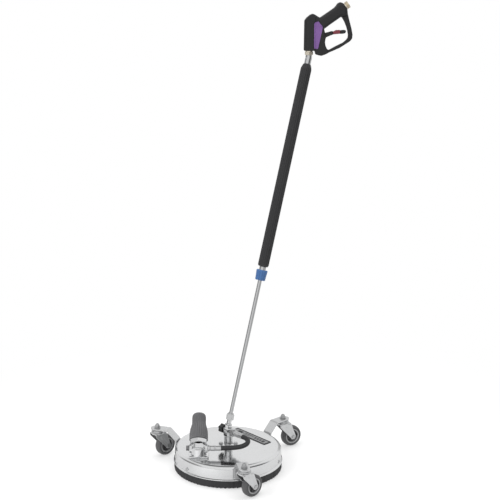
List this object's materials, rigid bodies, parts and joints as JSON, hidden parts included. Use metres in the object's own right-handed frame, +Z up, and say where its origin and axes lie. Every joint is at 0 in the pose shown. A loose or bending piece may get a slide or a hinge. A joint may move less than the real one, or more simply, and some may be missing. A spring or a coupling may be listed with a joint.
{
  "type": "surface cleaner",
  "caption": "Round stainless-steel surface cleaner on swivel castors, with a spinning spray bar under a brush-edged deck, a side grip and a tilting lance with a trigger gun.",
  "frame": {"origin": "centre of the footprint on the floor: the bounding box's bottom centre; the deck's own axis stands 114.6 mm forward of it, at y = -0.1146", "axes": "+Z up; +Y towards the operator, the way the lance leans; the two front castors lie at -Y, one on each side of X = 0"},
  "size_m": [0.4024, 0.5312, 1.2688],
  "materials": {
    "polished_steel": "polished",
    "satin_steel": "satin",
    "zinc_steel": "satin",
    "dark_steel": "satin",
    "brass": "satin",
    "brush": "matte",
    "grip_rubber": "matte",
    "sleeve_rubber": "matte",
    "hose_rubber": "satin",
    "gun_plastic": "matte",
    "blue_plastic": "matte",
    "wheel_plastic": "matte",
    "red_plastic": "gloss",
    "tyre": "matte",
    "label": "satin",
    "purple_plastic": "matte"
  },
  "bodies": {
    "deck": {"deck_cover": "polished_steel", "brush_skirt": "brush", "brush_clamp_ring": "satin_steel", "brush_screw_1": "satin_steel", "brush_screw_2": "satin_steel", "brush_screw_3": "satin_steel", "deck_label": "label", "castor_arm_rear": "satin_steel", "castor_arm_front_right": "satin_steel", "castor_arm_front_left": "satin_steel", "castor_kingpin_rear": "zinc_steel", "castor_kingpin_front_right": "zinc_steel", "castor_kingpin_front_left": "zinc_steel", "hinge_post": "polished_steel", "post_bolt_1": "satin_steel", "post_bolt_2": "satin_steel", "post_bolt_3": "satin_steel", "post_bolt_4": "satin_steel", "union_housing": "satin_steel", "union_bearing": "dark_steel", "pivot_pin": "satin_steel", "hose_fitting_rear": "satin_steel", "hose": "hose_rubber", "handle_block": "polished_steel", "handle_plug": "satin_steel", "hose_fitting_front": "satin_steel", "handle_nut": "satin_steel", "handle_grip": "grip_rubber", "feed_pipe": "satin_steel"},
    "rotor": {"rotor_hub": "satin_steel", "rotor_bar": "satin_steel", "rotor_nozzle_1": "brass", "rotor_nozzle_2": "brass"},
    "castor_rear": {"castor_fork_rear": "satin_steel", "castor_axle_rear": "zinc_steel"},
    "wheel_rear": {"castor_tyre_rear": "tyre", "castor_hub_rear": "wheel_plastic"},
    "castor_front_right": {"castor_fork_front_right": "satin_steel", "castor_axle_front_right": "zinc_steel"},
    "wheel_front_right": {"castor_tyre_front_right": "tyre", "castor_hub_front_right": "wheel_plastic"},
    "castor_front_left": {"castor_fork_front_left": "satin_steel", "castor_axle_front_left": "zinc_steel"},
    "wheel_front_left": {"castor_tyre_front_left": "tyre", "castor_hub_front_left": "wheel_plastic"},
    "knob": {"clamp_knob": "gun_plastic"},
    "lance": {"lance_tongue": "polished_steel", "lance_nut": "satin_steel", "lower_tube": "polished_steel", "upper_tube": "polished_steel", "lance_sleeve": "sleeve_rubber", "gun_outlet": "brass"},
    "coupling": {"coupling_nut": "blue_plastic"},
    "gun": {"gun_shell_left": "gun_plastic", "gun_shell_right": "gun_plastic", "gun_valve_body": "brass"},
    "trigger_lever": {"trigger": "gun_plastic"},
    "latch": {"safety_latch": "red_plastic"},
    "valve": {"valve_pin": "satin_steel"}
  },
  "joints": [
    {"name": "rotor_spin", "type": "hinge", "parent": "deck", "child": "rotor", "pos_m": [0, -0.1146, 0.026], "axis": [0, 0, 1], "continuous": true},
    {"name": "castor_swivel_rear", "type": "hinge", "parent": "deck", "child": "castor_rear", "pos_m": [0, 0.09641, 0.0775], "axis": [0, 0, 1], "continuous": true},
    {"name": "wheel_spin_rear", "type": "hinge", "parent": "castor_rear", "child": "wheel_rear", "pos_m": [0.00665, 0.12309, 0.03], "axis": [-0.9703, 0.2419, 0], "continuous": true},
    {"name": "castor_swivel_front_right", "type": "hinge", "parent": "deck", "child": "castor_front_right", "pos_m": [-0.18273, -0.2201, 0.0775], "axis": [0, 0, 1], "continuous": true},
    {"name": "wheel_spin_front_right", "type": "hinge", "parent": "castor_front_right", "child": "wheel_front_right", "pos_m": [-0.18273, -0.19259, 0.03], "axis": [-1, 0, 0], "continuous": true},
    {"name": "castor_swivel_front_left", "type": "hinge", "parent": "deck", "child": "castor_front_left", "pos_m": [0.18273, -0.2201, 0.0775], "axis": [0, 0, 1], "continuous": true},
    {"name": "wheel_spin_front_left", "type": "hinge", "parent": "castor_front_left", "child": "wheel_front_left", "pos_m": [0.18273, -0.19259, 0.03], "axis": [-1, 0, 0], "continuous": true},
    {"name": "knob_turn", "type": "hinge", "parent": "deck", "child": "knob", "pos_m": [-0.0215, -0.1146, 0.106], "axis": [1, 0, 0], "continuous": true},
    {"name": "lance_tilt", "type": "hinge", "parent": "deck", "child": "lance", "pos_m": [0, -0.1146, 0.106], "axis": [-1, 0, 0], "range_deg": [-16.1, 57.8]},
    {"name": "coupling_turn", "type": "hinge", "parent": "lance", "child": "coupling", "pos_m": [0, 0.00398, 0.53078], "axis": [0, 0.2778, 0.9606], "continuous": true},
    {"name": "gun_swivel", "type": "hinge", "parent": "lance", "child": "gun", "pos_m": [0, 0.17391, 1.134], "axis": [0, 0, 1], "continuous": true},
    {"name": "trigger_pull", "type": "hinge", "parent": "gun", "child": "trigger_lever", "pos_m": [0.02677, 0.20363, 1.175], "axis": [0.7431, -0.6691, 0], "range_deg": [0, 18]},
    {"name": "latch_flip", "type": "hinge", "parent": "trigger_lever", "child": "latch", "pos_m": [0.04497, 0.22384, 1.184], "axis": [0.7431, -0.6691, 0], "range_deg": [0, 50]},
    {"name": "valve_slide", "type": "slide", "parent": "gun", "child": "valve", "axis": [-0.6691, -0.7431, 0], "range_m": [0, 0.0019]}
  ],
  "couplings": [
    {"joint": "valve_slide", "follows": "trigger_pull", "m_per_rad": 0.006}
  ]
}
